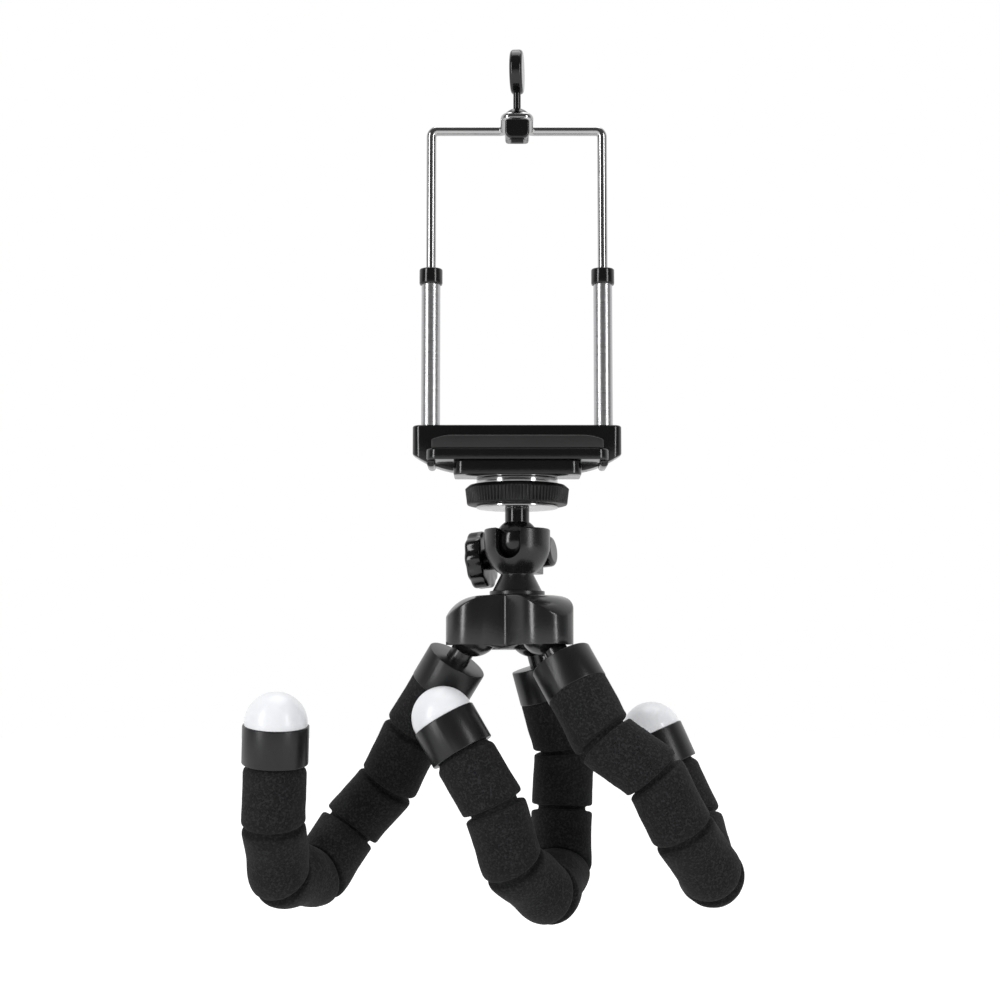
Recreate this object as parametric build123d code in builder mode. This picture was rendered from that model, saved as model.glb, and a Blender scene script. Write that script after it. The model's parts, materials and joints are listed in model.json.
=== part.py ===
"""Mini tripod with three bendable sponge legs, a small ball head and a sprung bow clip.

Lengths are in millimetres and angles in degrees. The origin lies on the axis that the
legs are wrapped round, +X runs along that axis, +Y points to the back and +Z is up.
"""
import os
from math import cos, radians, sin, tan

from build123d import *

os.makedirs("parts", exist_ok=True)

# Hub: three lobes round the head axis, each holding the ball of one leg
pivot_height = 47.8
pivot_radius = 10.8
hub_lobe_radius = 7.05
hub_drop = 4.4
hub_rise = 8.9
hub_crease_radius = 1.6
hub_flat_radius = 9.6
hub_dome_radius = 9.0
hub_dome_turn = 75
hub_bottom_chamfer = 0.8
leg_ball_radius = 6.2
neck_radius = 2.9
leg_tilt_limit = 40

# Clearances
running_gap = 0.05
socket_gap = 0.08
mouth_gap = 0.25
seat_gap = 0.3
face_gap = 0.05
cut_margin = 1.0

# Legs: plastic collars at both ends of a sponge sleeve that is moulded in seven lengths
collar_start = 8.5
collar_radius = 7.75
collar_length = 8.7
collar_edge = 0.7
neck_grip = 4.5
foam_radius = 7.7
foam_edge = 1.3
first_foam_length = 13.4
foam_pitch = 15.0
foam_count = 7
groove_width = 1.2
groove_depth = 1.7
groove_bend_limit = 56
foot_collar_radius = 7.95
foot_collar_length = 9.3
foot_collar_edge = 0.8
foot_radius = 7.55
foot_height = 7.9
foot_skirt = 1.2
foot_plug_radius = 3.5
foot_plug_length = 3.0
core_radius = 1.25
core_bend_length = 2.0
core_grip = 3.0
core_bore_radius = 2.2

# How each leg lies at rest: the azimuth of its ball, then one swing and one lean for
# each stretch between two grooves. Swing turns it from straight down to the back, and
# lean tips it along +X. All three legs curl under the wrap axis and come up again.
leg_azimuths = {"a": 188, "b": 68, "c": -52}
leg_swings = {
    "a": (19, 14, 14, -34, -94, -148, -169),
    "b": (5, 7, -17, -69, -129, -167, -188),
    "c": (-20, -3, 8, 34, 87, 144, 176),
}
leg_leans = {
    "a": (-30, -27, -40, -29, -31, -4, 2),
    "b": (15, -2, -2, -14, -34, -18, -30),
    "c": (27, 52, 28, 30, 2, -11, -24),
}

# Ball head: a cup with a drop slot in front and two clamping ears behind
slot_azimuth = -108
cup_flange_radius = 6.9
cup_flange_height = 1.2
cone_bottom_radius = 6.2
cone_top_radius = 4.05
cone_height = 4.2
bowl_radius = 8.25
bowl_height = 11.35
bowl_widest_height = 7.6
bowl_swell_radius = 7.05
bowl_swell_height = 3.0
bowl_rim_edge = 0.5
head_ball_radius = 5.6
head_ball_above_cone = 8.4
stem_radius = 3.05
stem_length = 8.1
slot_gap = 0.15
slot_bottom_below_ball = 4.7
ear_reach = 10.4
ear_width = 8.4
ear_height = 9.2
ear_base_below_ball = 8.0
ear_corner = 2.0
ear_slit = 0.9
clamp_offset = 7.4
clamp_below_ball = 2.94
clamp_dip = 6
clamp_screw_radius = 1.5
clamp_knob_radius = 6.4
clamp_knob_lobes = 10
clamp_lobe_radius = 1.5
clamp_lobe_circle = 5.95
clamp_knob_thickness = 4.4
clamp_knob_edge = 0.5
clamp_boss_radius = 2.8
clamp_boss_length = 5.6
clamp_nut_radius = 3.9
clamp_nut_thickness = 3.2
clamp_nut_edge = 1.2
clamp_nut_skin = 0.4
clamp_screw_end_gap = 0.35
head_screw_radius = 1.25
head_screw_head_radius = 2.4
head_screw_head_height = 1.6
head_screw_recess = 0.4
head_screw_reach = 14.0

# Mounting stack: washer, lock ring and washer on a quarter-inch stud
stud_radius = 3.175
stud_shank_radius = 1.6
stud_shank_length = 6.5
stud_reach = 12.6
stud_end_chamfer = 0.6
washer_radius = 10.2
lower_washer_thickness = 0.7
lock_ring_radius = 13.05
lock_ring_foot_radius = 12.6
lock_ring_height = 5.1
lock_ring_bevel = 1.3
lock_ring_bevel_height = 1.1
lock_ring_foot_bevel = 0.5
upper_washer_thickness = 1.5

# Clip base: a wall with a boat-shaped foot holds two guide tubes, and a boss in front of
# it carries the ledge. The foot's underside is given as half widths and rises from its keel.
base_height = 6.3
boat_keel_half_width = 5.0
boat_underside = ((10.2, 1.0), (15.25, 2.05), (19.6, 3.1), (22.9, 4.5), (26.4, 6.5))
boat_edge = 0.6
wall_front = 0.5
wall_back = 6.8
wall_height = 7.6
wall_corner = 2.4
boss_half_width = 15.75
boss_depth = 12.6
boss_corner = 3.0
ledge_half_width = 22.35
ledge_depth = 13.5
ledge_height = 2.7
ledge_corner = 3.0
ledge_rib_width = 2.05
ledge_rib_drop = 1.5
ledge_rib_edge = 0.9
insert_radius = 4.4
pad_half_width = 21.1
pad_thickness = 0.9
pad_back = 0.2
lip_height = 2.4
lip_thickness = 2.5
lip_inset = 0.2
lip_shoulder = 16.0
lip_fall = 1.1
base_screw_spacing = 24.0
base_screw_radius = 0.95
base_screw_head_radius = 1.7
base_screw_head_height = 1.0
base_screw_head_rise = 1.8
base_screw_length = 7.0
base_screw_back = 3.65

# Bow: one bent wire that slides in the guide tubes against a spring in each
clip_opening = 77.8
bow_half_width = 21.9
bow_back = 3.3
bow_wire_radius = 1.25
bow_corner = 1.6
bow_above_gap = 5.3
loop_half_width = 2.9
loop_front = 7.5
loop_rise = 0.5
tube_radius = 2.4
tube_bore_radius = 1.95
tube_foot_depth = 0.2
tube_length = 47.1
tube_cap_radius = 2.95
tube_cap_height = 4.0
tube_cap_roof = 1.0
bow_foot_lift = 22.3
stop_length = 2.5
spring_wall = 0.5

# Hook and finger tab at the top of the bow
hook_half_width = 3.05
hook_front = 11.2
hook_back = 3.0
hook_lip_thickness = 2.3
hook_lip_drop = 0.5
hook_edge = 0.5
hook_shoulder = 1.0
hook_foot_corner = 1.8
tongue_half_width = 1.5
tongue_drop = 1.4
tongue_thickness = 1.2
tab_back = 4.9
tab_flange_radius = 3.15
tab_flange_height = 1.6
tab_pin_radius = 0.95
tab_neck_length = 3.9
tab_radius = 5.6
tab_thickness = 3.2
tab_edge = 0.9
tab_turn = 5
tab_pin_reach = 5.0

# Heights that follow from the sizes above
hub_bottom = pivot_height - hub_drop
hub_top = pivot_height + hub_rise
cone_bottom = hub_top + cup_flange_height
bowl_bottom = cone_bottom + cone_height
ball_height = bowl_bottom + head_ball_above_cone
washer_bottom = ball_height + stem_length
ring_bottom = washer_bottom + lower_washer_thickness + face_gap
ring_top = ring_bottom + lock_ring_height
upper_washer_bottom = ring_top + face_gap
base_bottom = upper_washer_bottom + upper_washer_thickness
base_top = base_bottom + base_height
ledge_bottom = base_top - ledge_height
gap_bottom = base_top + pad_thickness
gap_top = gap_bottom + clip_opening
bow_height = gap_top + bow_above_gap
loop_height = bow_height + loop_rise
tube_bottom = base_top - tube_foot_depth
tube_top = tube_bottom + tube_length
bow_foot = tube_bottom + bow_foot_lift
hook_top = loop_height - bow_wire_radius - face_gap
hook_bottom = gap_top - hook_lip_drop


def unit(azimuth, dip=0):
    """Direction with this azimuth from +X, dipping below the level."""
    level = cos(radians(dip))
    return Vector(level * cos(radians(azimuth)), level * sin(radians(azimuth)), -sin(radians(dip)))


def leg_direction(swing, lean):
    """Direction of a stretch of leg, swung to the back from straight down and leaned to +X."""
    level = cos(radians(lean))
    return Vector(sin(radians(lean)), level * sin(radians(swing)), -level * cos(radians(swing)))


# Points and directions of the three legs
first_groove = collar_start + collar_length + first_foam_length
foot_start = foam_pitch
leg_paths = {}
for leg, azimuth in leg_azimuths.items():
    directions = [leg_direction(*turn) for turn in zip(leg_swings[leg], leg_leans[leg])]
    points = [unit(azimuth) * pivot_radius + Vector(0, 0, pivot_height)]
    for index, direction in enumerate(directions[:-1]):
        points.append(points[-1] + direction * (foam_pitch if index else first_groove))
    leg_paths[leg] = (points, directions)


def bend_hinge(leg, groove):
    """Unit axis of the bend at a groove; a positive turn curls the leg further."""
    directions = leg_paths[leg][1]
    return directions[groove - 1].cross(directions[groove]).normalized()


def along(point, direction, side=None):
    """Plane at the point whose normal runs along the leg."""
    if side is None:
        side = Vector(0, 1, 0).cross(direction)
    return Plane(origin=point, x_dir=side.normalized(), z_dir=direction)


def turned_about(point, direction):
    """Plane that holds the leg's direction as its local Y, for profiles that are revolved."""
    side = Vector(0, 1, 0).cross(direction).normalized()
    return Plane(origin=point, x_dir=side, z_dir=side.cross(direction))


# Hub
leg_balls = [leg_paths[leg][0][0] for leg in leg_azimuths]
hub_reach = hub_flat_radius + hub_dome_radius * sin(radians(hub_dome_turn))
hub_shoulder = hub_top - hub_dome_radius * (1 - cos(radians(hub_dome_turn)))
socket_radius = leg_ball_radius + socket_gap
mouth_apex = (neck_radius + mouth_gap) / sin(radians(leg_tilt_limit))
mouth_depth = mouth_apex + hub_drop + cut_margin

with BuildPart() as hub:
    with BuildSketch(Plane.XY.offset(hub_bottom)) as hub_plan:
        Circle(hub_lobe_radius)
        for azimuth in leg_azimuths.values():
            with Locations(Location((0, 0, 0), (0, 0, azimuth))):
                SlotCenterPoint((pivot_radius / 2, 0), (pivot_radius, 0), 2 * hub_lobe_radius)
        fillet(hub_plan.vertices().sort_by_distance((0, 0, hub_bottom))[:3], hub_crease_radius)
    extrude(amount=hub_top - hub_bottom)
    chamfer(hub.faces().sort_by(Axis.Z)[0].edges(), hub_bottom_chamfer)
    with BuildSketch(Plane.XZ):
        with BuildLine():
            Polyline((0, hub_top), (0, hub_bottom), (hub_reach, hub_bottom), (hub_reach, hub_shoulder))
            TangentArc((hub_flat_radius, hub_top), (hub_reach, hub_shoulder), tangent=(1, 0))
            Line((hub_flat_radius, hub_top), (0, hub_top))
        make_face()
    revolve(axis=Axis.Z, mode=Mode.INTERSECT)
    for centre in leg_balls:
        with Locations(centre):
            Sphere(socket_radius, mode=Mode.SUBTRACT)
        with Locations(centre + Vector(0, 0, mouth_apex)):
            Cone(
                mouth_depth * tan(radians(leg_tilt_limit)),
                0,
                mouth_depth,
                align=(Align.CENTER, Align.CENTER, Align.MAX),
                mode=Mode.SUBTRACT,
            )
    with Locations(Location((0, 0, hub_bottom), (180, 0, 0))):
        CounterBoreHole(
            head_screw_radius + running_gap,
            head_screw_head_radius + running_gap,
            head_screw_head_height + head_screw_recess,
            depth=hub_top - hub_bottom,
        )
hub.part.label = "hub"
export_step(hub.part, "parts/hub.step")

# Screw that holds the cup on the hub from below
screw_seat = hub_bottom + head_screw_recess
head_screw_top = screw_seat + head_screw_head_height + head_screw_reach
with BuildPart() as head_screw:
    with BuildSketch(Plane.XY.offset(screw_seat)):
        Circle(head_screw_head_radius)
        RegularPolygon(head_screw_radius, 6, mode=Mode.SUBTRACT)
    extrude(amount=head_screw_head_height / 2)
    with BuildSketch(Plane.XY.offset(screw_seat + head_screw_head_height / 2)):
        Circle(head_screw_head_radius)
    extrude(amount=head_screw_head_height / 2)
    with BuildSketch(Plane.XY.offset(screw_seat + head_screw_head_height)):
        Circle(head_screw_radius)
    extrude(amount=head_screw_reach)
head_screw.part.label = "head_screw"
export_step(head_screw.part, "parts/head_screw.step")

# Ball cup
slot_way = unit(slot_azimuth)
back_way = unit(slot_azimuth + 180)
ball_centre = Vector(0, 0, ball_height)
slot_half_width = stem_radius + slot_gap
slot_centre = ball_centre + Vector(0, 0, slot_half_width - slot_bottom_below_ball)
slot_plane = Plane(origin=slot_centre, x_dir=unit(slot_azimuth + 90), z_dir=slot_way)
clamp_way = unit(slot_azimuth - 90, clamp_dip)
clamp_point = ball_centre + back_way * clamp_offset - Vector(0, 0, clamp_below_ball)
clamp_plane = Plane(origin=clamp_point, x_dir=slot_way, z_dir=clamp_way)
ear_plane = Plane(
    origin=ball_centre - Vector(0, 0, ear_base_below_ball),
    x_dir=back_way,
    z_dir=(0, 0, 1),
)
bowl_top = bowl_bottom + bowl_height
slot_cut_height = bowl_top - slot_centre.Z + cut_margin

with BuildPart() as ball_cup:
    with BuildSketch(Plane.XZ):
        with BuildLine():
            Polyline(
                (0, bowl_top),
                (0, hub_top + face_gap),
                (cup_flange_radius, hub_top + face_gap),
                (cup_flange_radius, cone_bottom),
                (cone_bottom_radius, cone_bottom),
                (cone_top_radius, bowl_bottom),
            )
            ThreePointArc(
                (cone_top_radius, bowl_bottom),
                (bowl_swell_radius, bowl_bottom + bowl_swell_height),
                (bowl_radius, bowl_bottom + bowl_widest_height),
            )
            Polyline((bowl_radius, bowl_bottom + bowl_widest_height), (bowl_radius, bowl_top), (0, bowl_top))
        make_face()
    revolve(axis=Axis.Z)
    fillet(ball_cup.edges().filter_by(GeomType.CIRCLE).group_by(Axis.Z)[-1], bowl_rim_edge)
    with BuildSketch(ear_plane):
        with Locations((ear_reach / 2, 0)):
            Rectangle(ear_reach, ear_width)
    extrude(amount=ear_height)
    fillet(
        ball_cup.edges().filter_by(Axis.Z).sort_by_distance(ear_plane.origin + back_way * 2 * ear_reach)[:2],
        ear_corner,
    )
    with Locations(ball_centre):
        Sphere(head_ball_radius + running_gap, mode=Mode.SUBTRACT)
    with BuildSketch(slot_plane):
        Circle(slot_half_width)
        with Locations((0, slot_cut_height / 2)):
            Rectangle(2 * slot_half_width, slot_cut_height)
    extrude(amount=2 * bowl_radius, mode=Mode.SUBTRACT)
    with BuildSketch(ear_plane):
        with Locations((ear_reach, 0)):
            Rectangle(2 * ear_reach, ear_slit)
    extrude(amount=2 * bowl_height, mode=Mode.SUBTRACT)
    with BuildSketch(clamp_plane):
        Circle(clamp_screw_radius + socket_gap)
    extrude(amount=2 * ear_width, both=True, mode=Mode.SUBTRACT)
    with BuildSketch(clamp_plane.offset(ear_width / 2)):
        Circle(clamp_boss_radius + socket_gap)
    extrude(amount=ear_width, mode=Mode.SUBTRACT)
    with BuildSketch(clamp_plane.offset(-ear_width / 2)):
        Circle(clamp_nut_radius + face_gap)
    extrude(amount=-ear_width, mode=Mode.SUBTRACT)
    with BuildSketch(Plane.XY.offset(hub_top)):
        Circle(head_screw_radius + running_gap)
    extrude(amount=head_screw_top + cut_margin - hub_top, mode=Mode.SUBTRACT)
ball_cup.part.label = "ball_cup"
export_step(ball_cup.part, "parts/ball_cup.step")

# Clamp screw, its lobed knob and the cap nut on the far ear
knob_start = ear_width / 2 + face_gap
knob_face = knob_start + clamp_boss_length
nut_start = -ear_width / 2 - face_gap
nut_bore = clamp_nut_thickness - clamp_nut_skin
screw_end = nut_start - nut_bore + clamp_screw_end_gap

with BuildPart() as clamp_screw:
    with BuildSketch(clamp_plane.offset(screw_end)):
        Circle(clamp_screw_radius)
    extrude(amount=knob_face + clamp_knob_thickness / 2 - screw_end)
clamp_screw.part.label = "clamp_screw"
export_step(clamp_screw.part, "parts/clamp_screw.step")

with BuildPart() as clamp_knob:
    with BuildSketch(clamp_plane.offset(knob_face)):
        Circle(clamp_knob_radius)
        with PolarLocations(clamp_lobe_circle, clamp_knob_lobes):
            Circle(clamp_lobe_radius)
    extrude(amount=clamp_knob_thickness)
    chamfer(clamp_knob.faces().filter_by(Plane(origin=(0, 0, 0), z_dir=clamp_way)).edges(), clamp_knob_edge)
    with BuildSketch(clamp_plane.offset(knob_start)):
        Circle(clamp_boss_radius)
    extrude(amount=clamp_boss_length)
    with BuildSketch(clamp_plane.offset(knob_start)):
        Circle(clamp_screw_radius + face_gap)
    extrude(amount=clamp_boss_length + clamp_knob_thickness / 2 + face_gap, mode=Mode.SUBTRACT)
clamp_knob.part.label = "clamp_knob"
export_step(clamp_knob.part, "parts/clamp_knob.step")

with BuildPart() as clamp_nut:
    with BuildSketch(clamp_plane.offset(nut_start)):
        Circle(clamp_nut_radius)
    extrude(amount=-clamp_nut_thickness)
    fillet(clamp_nut.edges().sort_by_distance(clamp_point)[-1], clamp_nut_edge)
    with BuildSketch(clamp_plane.offset(nut_start)):
        Circle(clamp_screw_radius + running_gap)
    extrude(amount=-nut_bore, mode=Mode.SUBTRACT)
clamp_nut.part.label = "clamp_nut"
export_step(clamp_nut.part, "parts/clamp_nut.step")

# Ball with its stem
with BuildPart() as ball_stem:
    with Locations(ball_centre):
        Sphere(head_ball_radius)
    with BuildSketch(Plane.XY.offset(ball_height)):
        Circle(stem_radius)
    extrude(amount=stem_length)
    with BuildSketch(Plane.XY.offset(washer_bottom - stud_shank_length)):
        Circle(stud_shank_radius + face_gap)
    extrude(amount=stud_shank_length, mode=Mode.SUBTRACT)
ball_stem.part.label = "ball_stem"
export_step(ball_stem.part, "parts/ball_stem.step")

# Stud, washers and lock ring
with BuildPart() as stud:
    with BuildSketch(Plane.XY.offset(washer_bottom - stud_shank_length)):
        Circle(stud_shank_radius)
    extrude(amount=stud_shank_length + lower_washer_thickness)
    with BuildSketch(Plane.XY.offset(washer_bottom + lower_washer_thickness)):
        Circle(stud_radius)
    extrude(amount=stud_reach)
    chamfer(stud.edges().group_by(Axis.Z)[-1], stud_end_chamfer)
stud.part.label = "stud"
export_step(stud.part, "parts/stud.step")

with BuildPart() as lower_washer:
    with BuildSketch(Plane.XY.offset(washer_bottom + face_gap / 2)):
        Circle(washer_radius)
        Circle(stud_shank_radius + face_gap, mode=Mode.SUBTRACT)
    extrude(amount=lower_washer_thickness - face_gap)
lower_washer.part.label = "lower_washer"
export_step(lower_washer.part, "parts/lower_washer.step")

with BuildPart() as lock_ring:
    with BuildSketch(Plane.XZ):
        with BuildLine():
            Polyline(
                (stud_radius + running_gap, ring_bottom),
                (lock_ring_foot_radius - lock_ring_foot_bevel, ring_bottom),
                (lock_ring_foot_radius, ring_bottom + lock_ring_foot_bevel),
                (lock_ring_radius, ring_top - lock_ring_bevel_height),
                (lock_ring_radius - lock_ring_bevel, ring_top),
                (stud_radius + running_gap, ring_top),
                close=True,
            )
        make_face()
    revolve(axis=Axis.Z)
lock_ring.part.label = "lock_ring"
export_step(lock_ring.part, "parts/lock_ring.step")

with BuildPart() as upper_washer:
    with BuildSketch(Plane.XY.offset(upper_washer_bottom)):
        Circle(washer_radius)
        Circle(stud_radius + running_gap, mode=Mode.SUBTRACT)
    extrude(amount=upper_washer_thickness - face_gap)
upper_washer.part.label = "upper_washer"
export_step(upper_washer.part, "parts/upper_washer.step")

# Clip base
tube_places = [(-bow_half_width, bow_back), (bow_half_width, bow_back)]
base_screw_places = [(-base_screw_spacing / 2, base_screw_back), (base_screw_spacing / 2, base_screw_back)]

with BuildPart() as clip_base:
    with BuildSketch(Plane.XZ.offset(-wall_back)):
        with BuildLine():
            for side in (1, -1):
                keel = (side * boat_keel_half_width, base_bottom)
                underside = [(side * reach, base_bottom + rise) for reach, rise in boat_underside]
                wall_end = (underside[-1][0], base_top + wall_height)
                Line((0, base_bottom), keel)
                Spline(keel, *underside)
                Polyline(underside[-1], wall_end, (0, wall_end[1]))
        make_face()
    extrude(amount=wall_back - wall_front)
    fillet(clip_base.edges().filter_by(Axis.Z), wall_corner)
    fillet(clip_base.faces().sort_by(Axis.Z)[-1].edges(), boat_edge)
    with BuildSketch(Plane.XY.offset(base_bottom)) as boss_plan:
        with Locations((0, (wall_front - boss_depth) / 2)):
            Rectangle(2 * boss_half_width, wall_front + boss_depth)
        fillet(boss_plan.vertices().group_by(Axis.Y)[0], boss_corner)
    extrude(amount=ledge_bottom - face_gap - base_bottom)
    with BuildSketch(Plane.XY.offset(tube_bottom)):
        with Locations(*tube_places):
            Circle(tube_radius + face_gap)
    extrude(amount=wall_height + tube_foot_depth, mode=Mode.SUBTRACT)
    with BuildSketch(Plane.XY.offset(base_bottom)):
        Circle(insert_radius + face_gap)
    extrude(amount=base_height, mode=Mode.SUBTRACT)
    with BuildSketch(Plane.XY.offset(base_bottom)):
        with Locations(*base_screw_places):
            Circle(base_screw_radius + face_gap)
    extrude(amount=base_screw_length + cut_margin, mode=Mode.SUBTRACT)
    with BuildSketch(Plane.XY.offset(base_bottom)):
        with Locations(*base_screw_places):
            Circle(base_screw_head_radius + face_gap)
    extrude(amount=base_screw_head_rise + base_screw_head_height, mode=Mode.SUBTRACT)
clip_base.part.label = "clip_base"
export_step(clip_base.part, "parts/clip_base.step")

with BuildPart() as base_screws:
    screw_face = base_bottom + base_screw_head_rise
    with BuildSketch(Plane.XY.offset(screw_face)):
        with Locations(*base_screw_places):
            Circle(base_screw_head_radius)
    extrude(amount=base_screw_head_height - face_gap)
    with BuildSketch(Plane.XY.offset(screw_face + base_screw_head_height - face_gap)):
        with Locations(*base_screw_places):
            Circle(base_screw_radius)
    extrude(amount=base_screw_length - base_screw_head_rise - base_screw_head_height)
base_screws.part.label = "base_screws"
export_step(base_screws.part, "parts/base_screws.step")

# Threaded insert, shown with a plain bore
with BuildPart() as thread_insert:
    with BuildSketch(Plane.XY.offset(base_bottom + face_gap)):
        Circle(insert_radius)
        Circle(stud_radius + running_gap, mode=Mode.SUBTRACT)
    extrude(amount=base_height - face_gap)
thread_insert.part.label = "thread_insert"
export_step(thread_insert.part, "parts/thread_insert.step")

# Front ledge, a moulded cover on the boss, with a rib under each end
with BuildPart() as clip_ledge:
    with BuildSketch(Plane.XY.offset(ledge_bottom)) as ledge_plan:
        with Locations((0, (wall_front - face_gap - ledge_depth) / 2)):
            Rectangle(2 * ledge_half_width, wall_front - face_gap + ledge_depth)
        fillet(ledge_plan.vertices().group_by(Axis.Y)[0], ledge_corner)
    extrude(amount=ledge_height)
    rib_depth = ledge_depth - ledge_corner + wall_front - face_gap
    rib_reach = ledge_half_width - ledge_rib_width / 2
    with BuildSketch(Plane.XY.offset(ledge_bottom)):
        for side in (1, -1):
            with Locations((side * rib_reach, wall_front - face_gap - rib_depth / 2)):
                Rectangle(ledge_rib_width, rib_depth)
    extrude(amount=-ledge_rib_drop)
    fillet(clip_ledge.edges().group_by(Axis.Z)[0].filter_by(Axis.Y), ledge_rib_edge)
    with BuildSketch(Plane.XY.offset(ledge_bottom)):
        Circle(insert_radius + face_gap)
    extrude(amount=ledge_height, mode=Mode.SUBTRACT)
clip_ledge.part.label = "clip_ledge"
export_step(clip_ledge.part, "parts/clip_ledge.step")

# Rubber pad with its front lip
lip_front = -ledge_depth + lip_inset
with BuildPart() as clip_pad:
    with BuildSketch(Plane.XY.offset(base_top + face_gap)):
        with Locations((0, (lip_front + wall_front - pad_back) / 2)):
            Rectangle(2 * pad_half_width, wall_front - pad_back - lip_front)
    extrude(amount=pad_thickness - face_gap)
    lip_top = gap_bottom + lip_height
    with BuildSketch(Plane.XZ.offset(-lip_front)):
        with BuildLine():
            Line((-lip_shoulder, lip_top), (lip_shoulder, lip_top))
            for side in (1, -1):
                shoulder = (side * lip_shoulder, lip_top)
                corner = (side * pad_half_width, lip_top - lip_fall)
                TangentArc(shoulder, corner, tangent=(side, 0))
                Polyline(corner, (corner[0], base_top + face_gap), (0, base_top + face_gap))
        make_face()
    extrude(amount=-lip_thickness)
clip_pad.part.label = "clip_pad"
export_step(clip_pad.part, "parts/clip_pad.step")

# Guide tubes, their end caps, and the springs inside
with BuildPart() as guide_tubes:
    with BuildSketch(Plane.XY.offset(tube_bottom + face_gap)):
        with Locations(*tube_places):
            Circle(tube_radius)
            Circle(tube_bore_radius, mode=Mode.SUBTRACT)
    extrude(amount=tube_length - face_gap)
guide_tubes.part.label = "guide_tubes"
export_step(guide_tubes.part, "parts/guide_tubes.step")

with BuildPart() as tube_caps:
    with BuildSketch(Plane.XY.offset(tube_top + tube_cap_roof - tube_cap_height)):
        with Locations(*tube_places):
            Circle(tube_cap_radius)
            Circle(tube_radius + face_gap, mode=Mode.SUBTRACT)
    extrude(amount=tube_cap_height - tube_cap_roof + face_gap)
    with BuildSketch(Plane.XY.offset(tube_top + face_gap)):
        with Locations(*tube_places):
            Circle(tube_cap_radius)
            Circle(bow_wire_radius + socket_gap, mode=Mode.SUBTRACT)
    extrude(amount=tube_cap_roof)
tube_caps.part.label = "tube_caps"
export_step(tube_caps.part, "parts/tube_caps.step")

spring_foot = bow_foot + stop_length + face_gap
with BuildPart() as bow_springs:
    with BuildSketch(Plane.XY.offset(spring_foot)):
        with Locations(*tube_places):
            Circle(bow_wire_radius + socket_gap + spring_wall)
            Circle(bow_wire_radius + socket_gap, mode=Mode.SUBTRACT)
    extrude(amount=tube_top - spring_foot)
bow_springs.part.label = "bow_springs"
export_step(bow_springs.part, "parts/bow_springs.step")

# Bow wire, bent from one length, with a loop to the front that carries the hook
bow_points = [
    (-bow_half_width, bow_back, bow_foot),
    (-bow_half_width, bow_back, bow_height),
    (-loop_half_width, bow_back, bow_height),
    (-loop_half_width, -loop_front, loop_height),
    (loop_half_width, -loop_front, loop_height),
    (loop_half_width, bow_back, bow_height),
    (bow_half_width, bow_back, bow_height),
    (bow_half_width, bow_back, bow_foot),
]
bow_start = Plane(origin=bow_points[0], z_dir=(0, 0, 1))

with BuildPart() as bow_wire:
    with BuildLine():
        FilletPolyline(*bow_points, radius=bow_corner)
    with BuildSketch(bow_start):
        Circle(bow_wire_radius)
    sweep()
bow_wire.part.label = "bow_wire"
export_step(bow_wire.part, "parts/bow_wire.step")

with BuildPart() as bow_stops:
    with BuildSketch(Plane.XY.offset(bow_foot)):
        with Locations(*tube_places):
            Circle(tube_bore_radius - running_gap)
            Circle(bow_wire_radius + face_gap, mode=Mode.SUBTRACT)
    extrude(amount=stop_length)
bow_stops.part.label = "bow_stops"
export_step(bow_stops.part, "parts/bow_stops.step")

# Hook under the loop, with a soft tongue that bears on what the clip holds
tab_place = (0, -tab_back)
pin_bottom = loop_height + bow_wire_radius + face_gap - tab_pin_reach

with BuildPart() as hook:
    with BuildSketch(Plane.YZ.offset(-hook_half_width)):
        with BuildLine():
            Polyline(
                (-hook_back, hook_top),
                (-hook_front, hook_top),
                (-hook_front, hook_bottom),
                (-hook_front + hook_lip_thickness, hook_bottom),
                (-hook_front + hook_lip_thickness, gap_top + face_gap),
                (-hook_back, gap_top + face_gap),
                close=True,
            )
        make_face()
    extrude(amount=2 * hook_half_width)
    fillet(hook.edges().filter_by(Axis.X).sort_by_distance((0, -hook_front, hook_top))[0], hook_edge)
    with BuildSketch(Plane.XZ.offset(hook_back)) as hook_face:
        with Locations((0, (hook_top + hook_bottom) / 2)):
            Rectangle(2 * hook_half_width, hook_top - hook_bottom)
        fillet(hook_face.vertices().group_by(Axis.Y)[0], hook_foot_corner)
        fillet(hook_face.vertices().group_by(Axis.Y)[-1], hook_shoulder)
    extrude(amount=hook_front - hook_back, mode=Mode.INTERSECT)
    with BuildSketch(Plane.XY.offset(hook_bottom)):
        with Locations((0, -hook_front + hook_lip_thickness)):
            Rectangle(2 * (tongue_half_width + face_gap), 2 * (tongue_thickness + face_gap))
    extrude(amount=gap_top + face_gap - hook_bottom, mode=Mode.SUBTRACT)
    with BuildLine():
        FilletPolyline(*bow_points, radius=bow_corner)
    with BuildSketch(bow_start):
        Circle(bow_wire_radius + face_gap)
    sweep(mode=Mode.SUBTRACT)
    with BuildSketch(Plane.XY.offset(gap_top)):
        with Locations(tab_place):
            Circle(tab_pin_radius + running_gap)
    extrude(amount=2 * (hook_top - gap_top), mode=Mode.SUBTRACT)
hook.part.label = "hook"
export_step(hook.part, "parts/hook.step")

with BuildPart() as hook_tongue:
    tongue_front = -hook_front + hook_lip_thickness - tongue_thickness
    with BuildSketch(Plane.XY.offset(hook_bottom - tongue_drop + hook_lip_drop)):
        with Locations((0, tongue_front + tongue_thickness / 2)):
            Rectangle(2 * tongue_half_width, tongue_thickness)
    extrude(amount=gap_top - hook_bottom + tongue_drop - hook_lip_drop)
hook_tongue.part.label = "hook_tongue"
export_step(hook_tongue.part, "parts/hook_tongue.step")

# Finger tab: a disc on a pin, with a domed flange that rests on the loop
flange_bottom = loop_height + bow_wire_radius + face_gap
flange_top = flange_bottom + tab_flange_height
tab_centre = Vector(0, -tab_back, flange_top + tab_neck_length + tab_radius)
tab_plane = Plane(origin=tab_centre, x_dir=unit(90 - tab_turn), z_dir=unit(-tab_turn))

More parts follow.
